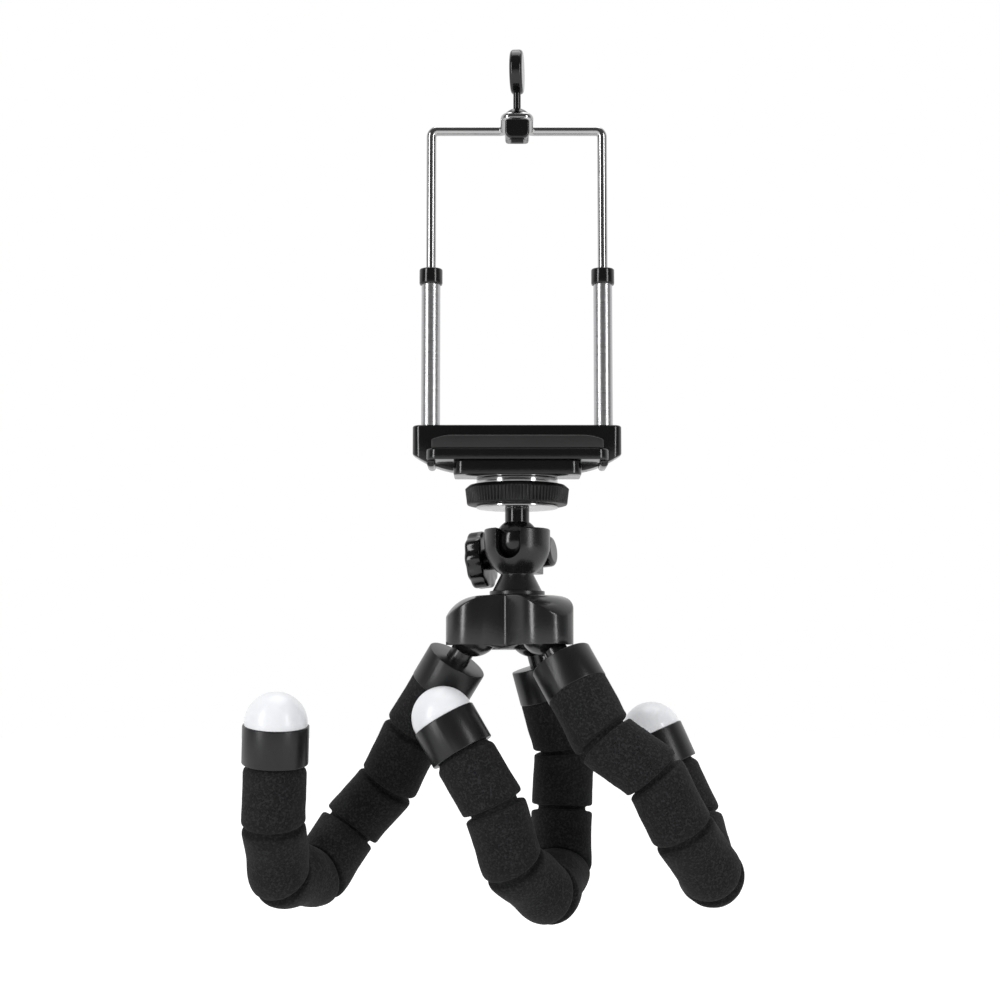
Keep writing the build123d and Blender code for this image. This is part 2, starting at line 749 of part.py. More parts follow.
with BuildPart() as finger_tab:
    with BuildSketch(tab_plane.offset(-tab_thickness / 2)):
        Circle(tab_radius)
    extrude(amount=tab_thickness)
    fillet(finger_tab.edges().filter_by(GeomType.CIRCLE), tab_edge)
    with BuildSketch(Plane.XY.offset(pin_bottom)):
        with Locations(tab_place):
            Circle(tab_pin_radius)
    extrude(amount=flange_top + tab_neck_length - pin_bottom + tab_radius / 2)
    with BuildSketch(Plane(origin=(0, -tab_back, 0), x_dir=(1, 0, 0), z_dir=(0, -1, 0))):
        with BuildLine():
            Polyline((0, flange_top), (0, flange_bottom), (tab_flange_radius, flange_bottom))
            TangentArc((0, flange_top), (tab_flange_radius, flange_bottom), tangent=(1, 0))
        make_face()
    revolve(axis=Axis((0, -tab_back, 0), (0, 0, 1)))
finger_tab.part.label = "finger_tab"
export_step(finger_tab.part, "parts/finger_tab.step")


# Legs
knuckle_radius = foam_radius - groove_depth
wedge_reach = foam_radius + cut_margin
wedge_depth = wedge_reach * tan(radians(groove_bend_limit / 2))
half_groove = groove_width / 2


def inner_wedge(point, direction, hinge, sign):
    """Profile to cut from the inner side of a sponge length, so that it clears its neighbour."""
    inner = hinge.cross(direction).normalized()
    with BuildSketch(Plane(origin=point, x_dir=inner, z_dir=hinge * -sign)) as wedge:
        with BuildLine():
            Polyline(
                (0, half_groove),
                (wedge_reach, half_groove),
                (wedge_reach, half_groove + wedge_depth),
                close=True,
            )
        make_face()
    return wedge.sketch


for leg, (points, directions) in leg_paths.items():
    top = directions[0]
    bottom = directions[-1]
    ball = points[0]

    # Ball and neck that turn in the hub
    with BuildPart() as leg_neck:
        with Locations(along(ball, top)):
            Sphere(leg_ball_radius)
        with BuildSketch(along(ball, top)):
            Circle(neck_radius)
        extrude(amount=collar_start + neck_grip)
        with BuildSketch(along(ball + top * (collar_start + neck_grip - core_grip), top)):
            Circle(core_radius + face_gap)
        extrude(amount=core_grip, mode=Mode.SUBTRACT)
    leg_neck.part.label = f"leg_{leg}_neck"
    export_step(leg_neck.part, f"parts/leg_{leg}_neck.step")

    # Top collar
    with BuildPart() as leg_collar:
        with BuildSketch(along(ball + top * collar_start, top)):
            Circle(collar_radius)
        extrude(amount=collar_length)
        chamfer(leg_collar.edges().filter_by(GeomType.CIRCLE), collar_edge)
        with BuildSketch(along(ball + top * collar_start, top)):
            Circle(neck_radius + face_gap)
        extrude(amount=neck_grip + face_gap, mode=Mode.SUBTRACT)
        with BuildSketch(along(ball + top * collar_start, top)):
            Circle(core_radius + face_gap)
        extrude(amount=collar_length, mode=Mode.SUBTRACT)
    leg_collar.part.label = f"leg_{leg}_collar"
    export_step(leg_collar.part, f"parts/leg_{leg}_collar.step")

    # Sponge sleeve, one solid for each length between two grooves
    for number in range(1, foam_count + 1):
        first = number == 1
        last = number == foam_count
        direction = directions[number - 1]
        start = ball + top * (collar_start + collar_length) if first else points[number - 1]
        length = first_foam_length if first else foam_pitch
        low = face_gap if first else half_groove
        high = length - (face_gap if last else half_groove)
        with BuildPart() as foam:
            with BuildSketch(turned_about(start, direction)) as foam_profile:
                with Locations((foam_radius / 2, (low + high) / 2)):
                    Rectangle(foam_radius, high - low)
                fillet(foam_profile.vertices().sort_by_distance(start)[-2:], foam_edge)
            revolve(axis=Axis(start, direction))
            if not first:
                wedge = inner_wedge(start, direction, bend_hinge(leg, number - 1), 1)
                extrude(wedge, amount=wedge_reach, both=True, mode=Mode.SUBTRACT)
                with Locations(along(start, direction)):
                    Sphere(knuckle_radius + seat_gap, mode=Mode.SUBTRACT)
            if not last:
                groove = points[number]
                onward = directions[number]
                wedge = inner_wedge(groove, direction, bend_hinge(leg, number), -1)
                extrude(wedge, amount=wedge_reach, both=True, mode=Mode.SUBTRACT)
                with Locations(along(groove, direction)):
                    Sphere(knuckle_radius)
                with BuildSketch(along(groove, onward)):
                    Circle(core_bore_radius)
                extrude(amount=foam_pitch / 2, mode=Mode.SUBTRACT)
                with Locations(along(groove, direction)):
                    Sphere(core_bore_radius, mode=Mode.SUBTRACT)
            with BuildSketch(along(start, direction)):
                Circle(core_bore_radius)
            extrude(amount=length, mode=Mode.SUBTRACT)
        foam.part.label = f"leg_{leg}_foam_{number}"
        export_step(foam.part, f"parts/leg_{leg}_foam_{number}.step")

    # Bendable wire core, from the neck to the foot
    foot = points[-1] + bottom * foot_start
    core_points = [ball + top * (collar_start + neck_grip - core_grip + face_gap)]
    core_points += points[1:] + [foot + bottom * (core_grip - face_gap)]
    core_radii = []
    for before, after in zip(directions, directions[1:]):
        core_radii.append(core_bend_length / tan(radians(before.get_angle(after) / 2)))
    with BuildPart() as leg_core:
        with BuildLine():
            FilletPolyline(*core_points, radius=core_radii)
        with BuildSketch(along(core_points[0], top)):
            Circle(core_radius)
        sweep()
    leg_core.part.label = f"leg_{leg}_core"
    export_step(leg_core.part, f"parts/leg_{leg}_core.step")

    # Foot collar and the domed foot that plugs into it
    with BuildPart() as foot_collar:
        with BuildSketch(along(foot, bottom)):
            Circle(foot_collar_radius)
        extrude(amount=foot_collar_length)
        chamfer(foot_collar.edges().filter_by(GeomType.CIRCLE), foot_collar_edge)
        with BuildSketch(along(foot, bottom)):
            Circle(core_radius + face_gap)
        extrude(amount=core_grip, mode=Mode.SUBTRACT)
        with BuildSketch(along(foot + bottom * foot_collar_length, bottom)):
            Circle(foot_plug_radius + face_gap)
        extrude(amount=-foot_plug_length - face_gap, mode=Mode.SUBTRACT)
    foot_collar.part.label = f"leg_{leg}_foot_collar"
    export_step(foot_collar.part, f"parts/leg_{leg}_foot_collar.step")

    foot_base = foot + bottom * (foot_collar_length + face_gap)
    with BuildPart() as foot_dome:
        with BuildSketch(turned_about(foot_base, bottom)):
            with BuildLine():
                Polyline((0, foot_height), (0, 0), (foot_radius, 0), (foot_radius, foot_skirt))
                TangentArc((0, foot_height), (foot_radius, foot_skirt), tangent=(1, 0))
            make_face()
        revolve(axis=Axis(foot_base, bottom))
        with BuildSketch(along(foot_base, bottom)):
            Circle(foot_plug_radius)
        extrude(amount=-foot_plug_length)
    foot_dome.part.label = f"leg_{leg}_foot_dome"
    export_step(foot_dome.part, f"parts/leg_{leg}_foot_dome.step")

    bends = [round(before.get_angle(after), 1) for before, after in zip(directions, directions[1:])]
    print("leg", leg, "tilt", round(top.get_angle(Vector(0, 0, -1)), 1), "bends", bends)
    print("   core bend radii", [round(r, 1) for r in core_radii])
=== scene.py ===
import json
from math import cos, degrees, pi, radians, sin, tan

import bmesh
import bpy
from mathutils import Matrix, Vector, noise


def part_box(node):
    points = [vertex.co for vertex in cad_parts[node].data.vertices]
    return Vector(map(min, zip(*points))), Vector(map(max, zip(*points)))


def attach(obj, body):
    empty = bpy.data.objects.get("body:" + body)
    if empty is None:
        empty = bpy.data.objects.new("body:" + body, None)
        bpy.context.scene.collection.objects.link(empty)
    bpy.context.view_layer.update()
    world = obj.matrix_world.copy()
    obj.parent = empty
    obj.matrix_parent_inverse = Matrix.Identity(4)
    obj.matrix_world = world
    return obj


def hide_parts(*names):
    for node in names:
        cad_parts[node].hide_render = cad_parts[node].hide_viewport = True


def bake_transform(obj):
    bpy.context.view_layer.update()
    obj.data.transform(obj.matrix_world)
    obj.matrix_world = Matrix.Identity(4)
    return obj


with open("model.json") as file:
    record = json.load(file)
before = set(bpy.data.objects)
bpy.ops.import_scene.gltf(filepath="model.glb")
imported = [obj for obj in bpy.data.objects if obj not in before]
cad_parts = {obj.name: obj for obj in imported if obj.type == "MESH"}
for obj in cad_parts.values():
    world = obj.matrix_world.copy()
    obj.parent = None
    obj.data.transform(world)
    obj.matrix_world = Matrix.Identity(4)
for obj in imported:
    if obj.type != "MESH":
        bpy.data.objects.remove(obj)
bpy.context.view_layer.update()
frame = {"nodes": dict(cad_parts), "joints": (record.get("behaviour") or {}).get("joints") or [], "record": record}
joints = {joint["name"]: joint for joint in frame["joints"]}

MM = 0.001
LEGS = ("a", "b", "c")
GROOVES = range(1, 7)

# Sockets of a colour mix
MIX_FACTOR = 0
MIX_FIRST = 6
MIX_SECOND = 7
MIX_RESULT = 2


# Node trees
class Value:
    """A socket of a node tree. Arithmetic on it adds Math nodes."""

    def __init__(self, look, socket):
        self.look = look
        self.socket = socket

    def __add__(self, other):
        return self.look.math("ADD", self, other)

    def __sub__(self, other):
        return self.look.math("SUBTRACT", self, other)

    def __rsub__(self, other):
        return self.look.math("SUBTRACT", other, self)

    def __mul__(self, other):
        return self.look.math("MULTIPLY", self, other)

    __radd__ = __add__

    def between(self, low, high):
        """This value from 0 to 1 spread over another range."""
        return self * (high - low) + low


class Look:
    """A material with its Principled shader, and the nodes that feed it."""

    def __init__(self, name, **constants):
        self.material = bpy.data.materials.new(name)
        self.material.use_nodes = True
        self.tree = self.material.node_tree
        self.shader = self.tree.nodes["Principled BSDF"]
        for socket, value in constants.items():
            self.feed(socket.replace("_", " "), value)

    def plug(self, target, source):
        """Links a Value to a socket, or sets the socket's own value."""
        if isinstance(source, Value):
            self.tree.links.new(source.socket, target)
        else:
            target.default_value = source

    def node(self, kind, settings=None, inputs=None, output=0):
        """Adds a node with its settings first and then its sockets, and gives one output."""
        made = self.tree.nodes.new(kind)
        for name, value in (settings or {}).items():
            setattr(made, name, value)
        for name, value in (inputs or {}).items():
            self.plug(made.inputs[name], value)
        return Value(self, made.outputs[output])

    def math(self, operation, *values):
        return self.node("ShaderNodeMath", {"operation": operation}, dict(enumerate(values)))

    def feed(self, socket, value):
        self.plug(self.shader.inputs[socket], value)

    def place(self):
        return self.node("ShaderNodeTexCoord", output="Object")

    def ray(self, kind):
        """1 for rays of this kind, else 0."""
        return self.node("ShaderNodeLightPath", output=f"Is {kind} Ray")

    def noise(self, size, detail=2.0, stretch=(1.0, 1.0, 1.0)):
        """Smooth noise from 0 to 1 with blotches of about this size in metres."""
        spread = self.node("ShaderNodeMapping", inputs={"Vector": self.place(), "Scale": stretch})
        inputs = {"Vector": spread, "Scale": 0.5 / size, "Detail": detail}
        return self.node("ShaderNodeTexNoise", inputs=inputs)

    def ramp(self, factor, stops):
        """Grey level over a factor, from stops given as pairs of place and level."""
        made = self.node("ShaderNodeValToRGB", inputs={"Fac": factor})
        ramp = made.socket.node.color_ramp
        while len(ramp.elements) < len(stops):
            ramp.elements.new(1.0)
        for element, (place, level) in zip(ramp.elements, stops):
            element.position = place
            element.color = (level, level, level, 1.0)
        return made

    def mix(self, factor, first, second):
        """Colour between two colours."""
        inputs = {MIX_FACTOR: factor, MIX_FIRST: (*first, 1.0), MIX_SECOND: (*second, 1.0)}
        return self.node("ShaderNodeMix", {"data_type": "RGBA"}, inputs, output=MIX_RESULT)

    def bump(self, height, distance, strength=1.0):
        inputs = {"Height": height, "Distance": distance, "Strength": strength}
        self.feed("Normal", self.node("ShaderNodeBump", inputs=inputs))


# Finishes
def moulded_plastic(name, dark, light, rough, shine):
    """Moulded plastic: faint blotches in colour, gloss that varies, and a fine skin."""
    look = Look(name, Specular_IOR_Level=shine)
    cloud = look.noise(6 * MM, detail=4.0)
    look.feed("Base Color", look.mix(cloud, dark, light))
    smear = look.noise(2.2 * MM, detail=5.0, stretch=(1.0, 1.0, 0.35))
    look.feed("Roughness", smear.between(*rough))
    look.bump(look.noise(0.25 * MM, detail=3.0), distance=0.012 * MM)
    return look.material


def sponge():
    """Closed-cell sponge: a matt charcoal skin with fine pits and paler worn specks."""
    look = Look("sponge", Sheen_Weight=0.03, Sheen_Roughness=0.6, Specular_IOR_Level=0.16)
    cell_size = 0.36 * MM
    cells = look.node("ShaderNodeTexVoronoi", inputs={"Vector": look.place(), "Scale": 1 / cell_size})
    pits = look.ramp(cells, [(0.18, 0.0), (0.5, 1.0)])
    wear = look.noise(1.3 * MM, detail=5.0)
    cloud = look.noise(7 * MM, detail=3.0)
    grain = look.noise(0.28 * MM, detail=1.0)
    flecks = look.ramp(grain, [(0.5, 0.0), (0.68, 1.0)])
    tone = cloud.between(0.6, 0.9) * (pits * wear.between(0.2, 1.0)) + flecks * 0.8
    look.feed("Base Color", look.mix(tone, (0.0011, 0.0011, 0.0013), (0.0205, 0.0205, 0.0220)))
    look.feed("Roughness", wear.between(0.78, 0.96))
    look.bump(pits * 0.7 + look.noise(0.9 * MM, detail=4.0), distance=0.09 * MM, strength=0.8)
    return look.material


def polished_chrome():
    """Bright chrome with soft smears."""
    look = Look("polished_chrome", Metallic=1.0)
    smear = look.noise(3.5 * MM, detail=4.0)
    look.feed("Base Color", look.mix(smear, (0.40, 0.40, 0.415), (0.52, 0.512, 0.50)))
    look.feed("Roughness", smear.between(0.09, 0.16))
    return look.material


def turned_metal(name, low, high, rough):
    """Turned or drawn metal with fine lines round its axis."""
    look = Look(name, Metallic=1.0)
    lines = look.noise(1.2 * MM, detail=5.0, stretch=(1.0, 1.0, 14.0))
    look.feed("Base Color", look.mix(lines, low, high))
    look.feed("Roughness", lines.between(*rough))
    look.bump(lines, distance=0.01 * MM)
    return look.material


def white_foot():
    """White moulded rubberised plastic, with a soft gloss and a few faint scuffs."""
    look = Look("white_foot", Coat_Weight=0.25, Coat_Roughness=0.12, Subsurface_Weight=0.08)
    look.feed("Subsurface Radius", (0.6 * MM, 0.6 * MM, 0.7 * MM))
    cloud = look.noise(5 * MM, detail=3.0)
    look.feed("Base Color", look.mix(cloud, (0.79, 0.80, 0.83), (0.86, 0.87, 0.89)))
    scuff = look.noise(1.1 * MM, detail=6.0, stretch=(1.0, 1.0, 0.4))
    look.feed("Roughness", scuff.between(0.22, 0.42))
    look.bump(look.noise(0.35 * MM, detail=3.0), distance=0.008 * MM)
    return look.material


def rubber():
    """Soft black rubber with a fine pebbled grain."""
    look = Look("rubber")
    cloud = look.noise(3 * MM, detail=3.0)
    look.feed("Base Color", look.mix(cloud, (0.0055, 0.005, 0.0048), (0.012, 0.011, 0.0105)))
    look.feed("Roughness", cloud.between(0.5, 0.68))
    look.bump(look.noise(0.3 * MM, detail=4.0), distance=0.03 * MM)
    return look.material


# Name, dark and light colour, range of roughness, shine
PLASTICS = [
    ("hub_plastic", (0.006, 0.006, 0.0066), (0.012, 0.012, 0.0128), (0.17, 0.27), 0.62),
    ("cup_plastic", (0.005, 0.005, 0.0055), (0.010, 0.010, 0.0107), (0.21, 0.32), 0.5),
    ("clip_plastic", (0.003, 0.003, 0.0034), (0.006, 0.006, 0.0065), (0.11, 0.19), 0.5),
    ("ring_plastic", (0.002, 0.002, 0.0023), (0.0045, 0.0045, 0.005), (0.36, 0.48), 0.28),
    ("collar_plastic", (0.005, 0.005, 0.0056), (0.010, 0.010, 0.0107), (0.27, 0.37), 0.42),
]

# Name, dark and light colour, range of roughness
METALS = [
    ("steel", (0.42, 0.42, 0.43), (0.60, 0.60, 0.61), (0.22, 0.38)),
    ("insert_brass", (0.62, 0.45, 0.20), (0.78, 0.60, 0.30), (0.20, 0.34)),
    ("core_wire", (0.60, 0.60, 0.61), (0.74, 0.74, 0.75), (0.26, 0.42)),
]

FINISHES = {row[0]: moulded_plastic(*row) for row in PLASTICS}
FINISHES.update(foot_plastic=white_foot(), sponge=sponge(), pad_rubber=rubber(), chrome=polished_chrome())
FINISHES.update({row[0]: turned_metal(*row) for row in METALS})


def finish_nodes():
    """Gives every node of the frame the finish of its slot."""
    for entry in frame["record"]["subparts"]:
        slots = frame["nodes"][entry["node"]].data.materials
        slots.clear()
        slots.append(FINISHES[entry["material_slot"]])


# Meshes
def add_object(name, data):
    """An object with this data, in the scene."""
    made = bpy.data.objects.new(name, data)
    bpy.context.scene.collection.objects.link(made)
    return made


def make_piece(name, points, faces, slot, body, crease):
    """A smooth piece with sharp edges above the crease angle, riding on a body if one is given."""
    mesh = bpy.data.meshes.new(name)
    mesh.from_pydata([tuple(point) for point in points], [], faces)
    mesh.polygons.foreach_set("use_smooth", [True] * len(faces))
    mesh.set_sharp_from_angle(angle=radians(crease))
    mesh.materials.append(FINISHES[slot])
    piece = add_object(name, mesh)
    if body:
        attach(piece, body)
    return piece


def ring_piece(name, rings, slot, body=None, closed=False, crease=40):
    """A piece of rings of points; closed joins the last ring to the first, else the ends are capped."""
    count = len(rings)
    segments = len(rings[0])
    faces = []
    for ring in range(count if closed else count - 1):
        first = ring * segments
        second = (ring + 1) % count * segments
        for turn in range(segments):
            onward = (turn + 1) % segments
            faces.append((first + turn, first + onward, second + onward, second + turn))
    if not closed:
        faces.append(tuple(reversed(range(segments))))
        faces.append(tuple(range((count - 1) * segments, count * segments)))
    points = [point for ring in rings for point in ring]
    return make_piece(name, points, faces, slot, body, crease)


def turns(segments):
    """Angles of one full turn in even steps."""
    return [2 * pi * turn / segments for turn in range(segments)]


def clamped(value):
    """The value held between 0 and 1."""
    return min(1.0, max(0.0, value))


def revolved(place, outline, segments, swell):
    """Rings of an outline of radii and heights turned about a placed Z axis, swollen a little."""
    rings = []
    for radius, height in outline:
        ring = []
        for angle in turns(segments):
            reach = radius + swell(angle, radius, height)
            ring.append(place @ Vector((reach * cos(angle), reach * sin(angle), height)))
        rings.append(ring)
    return rings


def span(node, point, way):
    """Lowest and highest place of a node's mesh along a direction, counted from a point."""
    places = [(vertex.co - point).dot(way) for vertex in frame["nodes"][node].data.vertices]
    return min(places), max(places)


# Pieces with eased edges: node, body, width of the rounding in mm, finish
EASED = [
    ("hub", "hub", 0.4, "hub_plastic"),
    ("ball_cup", "hub", 0.2, "cup_plastic"),
    ("clip_base", "clip", 0.35, "clip_plastic"),
    ("clip_ledge", "clip", 0.4, "clip_plastic"),
    ("clip_pad", "clip", 0.4, "pad_rubber"),
    ("tube_caps", "clip", 0.4, "clip_plastic"),
    ("upper_washer", "clip", 0.15, "chrome"),
    ("lower_washer", "ball", 0.12, "chrome"),
    ("hook", "bow", 0.45, "clip_plastic"),
]
WELD_DISTANCE = 0.001 * MM
FLAT_ANGLE = radians(0.6)
SHARP_ANGLE = radians(28)
EDGE_STEPS = 3


def ease_edges(node, body, width, slot):
    """Stands a copy with rounded edges in for a node."""
    form = bmesh.new()
    form.from_mesh(frame["nodes"][node].data)
    bmesh.ops.remove_doubles(form, verts=form.verts, dist=WELD_DISTANCE)
    bmesh.ops.dissolve_limit(form, angle_limit=FLAT_ANGLE, verts=form.verts, edges=form.edges)
    sharp = [edge for edge in form.edges if edge.is_manifold and edge.calc_face_angle() > SHARP_ANGLE]
    bmesh.ops.bevel(
        form, geom=sharp, offset=width * MM, segments=EDGE_STEPS, profile=0.5, affect="EDGES",
        clamp_overlap=False,
    )
    bmesh.ops.triangulate(form, faces=form.faces)
    form.verts.ensure_lookup_table()
    points = [vertex.co.copy() for vertex in form.verts]
    faces = [tuple(vertex.index for vertex in face.verts) for face in form.faces]
    form.free()
    piece = make_piece(f"{node}_eased", points, faces, slot, body, crease=34)
    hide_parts(node)


# Sponge sleeves and wires of the legs
FOAM_RADIUS = 7.62 * MM
FOAM_LIP = 7.72 * MM
FOAM_FLOOR = 6.0 * MM
FOAM_BORE = 2.2 * MM
BORE_STEPS = 12
CORE_RADIUS = 1.25 * MM
CORE_GRIP = 2.9 * MM
CORE_STEPS = 26
BEND_SPREAD = 7.2 * MM
SLEEVE_SEGMENTS = 88
CORE_SEGMENTS = 20

# Distance from the groove's middle in mm, and share of the rise from its floor to its lip
GROOVE_OUTLINE = [
    (0.0, 0.0), (0.3, 0.0), (0.52, 0.1), (0.64, 0.35), (0.72, 0.62), (0.86, 0.84), (1.15, 0.97),
    (1.6, 1.0),
]

# Where the lip's swell starts to fade and the length that it fades over, in mm
LIP_END = GROOVE_OUTLINE[-1][0]
LIP_FADE = 3.4

# Rings beside a groove in mm, and the even rings further off
RING_PLACES = [near for near, _ in GROOVE_OUTLINE] + [2.2, 2.9]
EVEN_RINGS_FROM = 3.3 * MM
EVEN_RING_STEP = 0.7 * MM

# End of the last sleeve, drawn in beside the foot collar
END_DRAW = 1.15 * MM
END_LENGTH = 1.5 * MM
END_CURVE = 0.6

# Height in mm and waves per mm of the uneven skin
SKIN_WAVES = ((0.07, 0.28), (0.035, 1.7))
SKIN_RADIUS = 7.7


def leg_layout(leg):
    """The leg's points from its ball to its last groove, and the directions of its stretches."""
    points = [Vector(joints[f"leg_{leg}_root"]["pos_m"])]
    points += [Vector(joints[f"leg_{leg}_bend_{groove}"]["pos_m"]) for groove in GROOVES]
    ways = [(second - first).normalized() for first, second in zip(points, points[1:])]
    last = joints[f"leg_{leg}_bend_{GROOVES[-1]}"]
    ways.append(Matrix.Rotation(radians(-last["range_deg"][0]), 3, Vector(last["axis"])) @ ways[-1])
    return points, ways


def foam_radius(distance):
    """Sleeve radius at this distance from the nearest groove, with a small swell at its lips."""
    away = abs(distance) / MM
    for (near, low), (far, high) in zip(GROOVE_OUTLINE, GROOVE_OUTLINE[1:]):
        if away <= far:
            share = low + (high - low) * (away - near) / (far - near)
            return FOAM_FLOOR + (FOAM_LIP - FOAM_FLOOR) * share
    fade = min(1.0, (away - LIP_END) / LIP_FADE)
    return FOAM_LIP + (FOAM_RADIUS - FOAM_LIP) * fade


def end_draw(left):
    """How far the last sleeve draws in where this length of it is left."""
    return END_DRAW * max(0.0, 1 - left / END_LENGTH) ** END_CURVE


def skin(angle, along):
    """Height of the uneven skin at this angle round the leg and this place along it."""
    seed = Vector((cos(angle) * SKIN_RADIUS, sin(angle) * SKIN_RADIUS, along / MM))
    return MM * sum(height * noise.noise(seed * waves) for height, waves in SKIN_WAVES)


def share_of_bend(distance):
    """How much of a groove's bend a ring at this distance along the leg has taken."""
    share = clamped((distance + BEND_SPREAD) / (2 * BEND_SPREAD))
    return share * share * (3 - 2 * share)


class Groove:
    """One groove of a leg, with the bend of the leg through it."""

    def __init__(self, leg, number):
        points, ways = leg_layout(leg)
        self.leg = leg
        self.number = number
        self.point = points[number]
        self.axis = Vector(joints[f"leg_{leg}_bend_{number}"]["axis"])
        self.before = ways[number - 1]
        self.after = ways[number]
        self.angle = self.before.angle(self.after)
        self.inner = self.axis.cross(self.before)
        self.pitch = (points[2] - points[1]).length
        self.bodies = (f"leg_{leg}_{number}", f"leg_{leg}_{number + 1}")

    def ring(self, distance, radii):
        """A ring of these radii round the straight leg, moved by the bend at its distance."""
        bend = Matrix.Rotation(self.angle * share_of_bend(distance), 3, self.axis)
        middle = self.before * distance
        ring = []
        for angle, radius in zip(turns(len(radii)), radii):
            straight = middle + self.axis * (radius * sin(angle)) + self.inner * (radius * cos(angle))
            ring.append(self.point + bend @ straight)
        return ring

    def blend(self, piece):
        """Works out how far the bend reaches round the groove, which nothing uses, and bakes the piece's placement
        into its mesh.
        """
        chord = (self.before + self.after).normalized()
        half = self.angle / 2
        end = self.pitch / 2 * cos(half) - FOAM_LIP * sin(half)
        reach = min(BEND_SPREAD * cos(half), end)
        self.point - chord * reach
        self.point + chord * reach
        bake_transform(piece)


def sleeve_steps(low, high):
    """Places along a sleeve, closer together round the groove."""
    fine = [side * near * MM for near in RING_PLACES for side in (-1, 1)]
    count = int((high - low) / EVEN_RING_STEP)
    even = [low + (high - low) * part / count for part in range(count + 1)]
    return sorted(set(fine + [place for place in even if abs(place) > EVEN_RINGS_FROM]))


def sleeve_piece(groove, low, high, start):
    """The sponge sleeve through one groove, as a closed tube with its bore."""
    last = groove.number == GROOVES[-1]
    rings = []
    for distance in sleeve_steps(low, high):
        radius = foam_radius(distance)
        if last:
            radius -= end_draw(high - distance)
        radii = [radius + skin(angle, start + distance) for angle in turns(SLEEVE_SEGMENTS)]
        rings.append(groove.ring(distance, radii))
    for part in range(BORE_STEPS + 1):
        distance = high + (low - high) * part / BORE_STEPS
        rings.append(groove.ring(distance, [FOAM_BORE] * SLEEVE_SEGMENTS))
    name = f"leg_{groove.leg}_sleeve_{groove.number}"
    piece = ring_piece(name, rings, "sponge", closed=True, crease=60)
    nodes = [f"leg_{groove.leg}_foam_{groove.number}"]
    if last:
        nodes.append(f"leg_{groove.leg}_foam_{groove.number + 1}")
    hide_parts(*nodes)
    groove.blend(piece)


def core_piece(groove, low, high):
    """The bendable wire through one groove."""
    leg = groove.leg
    rings = []
    for part in range(CORE_STEPS + 1):
        distance = low + (high - low) * part / CORE_STEPS
        rings.append(groove.ring(distance, [CORE_RADIUS] * CORE_SEGMENTS))
    piece = ring_piece(f"leg_{leg}_wire_{groove.number}", rings, "core_wire")
    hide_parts(f"leg_{leg}_core")
    groove.blend(piece)


def dress_leg(leg):
    """The sleeve and the wire of one leg, a piece of each for every groove."""
    points, ways = leg_layout(leg)
    collar_end = span(f"leg_{leg}_collar", points[0], ways[0])[1]
    core_start = span(f"leg_{leg}_core", points[0], ways[0])[0]
    foot_start = span(f"leg_{leg}_foot_collar", points[-1], ways[-1])[0]
    first = (points[1] - points[0]).length
    for number in GROOVES:
        groove = Groove(leg, number)
        half = groove.pitch / 2
        low, high, wire_low, wire_high = -half, half, -half, half
        if number == GROOVES[0]:
            low, wire_low = collar_end - first, core_start - first
        if number == GROOVES[-1]:
            high, wire_high = foot_start, foot_start + CORE_GRIP
        sleeve_piece(groove, low, high, first + (number - 1) * groove.pitch)
        core_piece(groove, wire_low, wire_high)


# Collars of the legs
COLLAR_RADIUS = 7.75 * MM
FOOT_COLLAR_RADIUS = 7.95 * MM
COLLAR_EDGE = 0.26 * MM
COLLAR_SEGMENTS = 120
NECK_BORE = 2.97 * MM
NECK_BORE_DEPTH = 4.57 * MM
CORE_BORE = 1.32 * MM
CORE_BORE_DEPTH = 3.0 * MM
PLUG_BORE = 3.56 * MM
PLUG_BORE_DEPTH = 3.06 * MM
PARTING_HEIGHT = 0.05 * MM
PARTING_HALF_ANGLE = 1.6
PARTING_FROM = 7 * MM
ARC_STEPS = 3
QUARTER_TURN = [pi / 2 * step / ARC_STEPS for step in range(ARC_STEPS + 1)]


def lower_edge(radius, height, edge):
    """Outline of a rounded outer edge, from the bottom face to the side."""
    return [(radius - edge * (1 - sin(turn)), height + edge * (1 - cos(turn))) for turn in QUARTER_TURN]


def upper_edge(radius, height, edge):
    """Outline of a rounded outer edge, from the side to the top face."""
    return [(radius - edge * (1 - cos(turn)), height - edge * (1 - sin(turn))) for turn in QUARTER_TURN]


def parting_line(angle, radius, _):
    """A faint moulding line along two sides."""
    off = abs((degrees(angle) + 90) % 180 - 90)
    return PARTING_HEIGHT if off < PARTING_HALF_ANGLE and radius > PARTING_FROM else 0.0


def collar_piece(node, body, start, way, outline, closed):
    """A collar turned about the leg's line, from its lower end upward along the leg."""
    place = Matrix.Translation(start) @ way.to_track_quat("Z", "Y").to_matrix().to_4x4()
    rings = revolved(place, outline, COLLAR_SEGMENTS, parting_line)
    piece = ring_piece(f"{node}_turned", rings, "collar_plastic", body, closed, crease=36)
    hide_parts(node)


